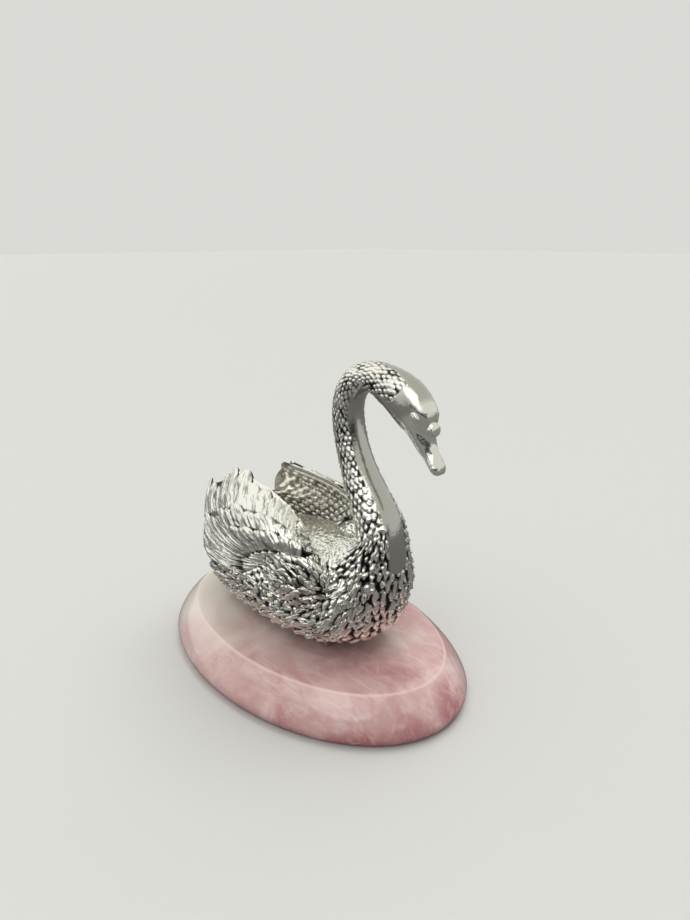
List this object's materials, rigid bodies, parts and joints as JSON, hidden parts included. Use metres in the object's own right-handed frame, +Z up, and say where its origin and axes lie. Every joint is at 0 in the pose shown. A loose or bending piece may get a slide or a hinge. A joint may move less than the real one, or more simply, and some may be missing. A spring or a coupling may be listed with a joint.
{
  "type": "swan figurine on a stone base",
  "caption": "Plated swan with arched wings and carved feathers, set by a square pad on an oval rose quartz base; a desk ornament.",
  "frame": {"origin": "centre of the base's underside", "axes": "+X along the base's length, the way the swan faces; +Z up"},
  "size_m": [0.13, 0.0856, 0.1124],
  "materials": {
    "rose_quartz": "polished, cloudy rose quartz",
    "pad_metal": "plain plated plate",
    "silver_plating": "bright silver plating"
  },
  "bodies": {
    "root": {"stone_base": "rose_quartz", "mounting_pad": "pad_metal", "swan": "silver_plating"}
  },
  "joints": []
}
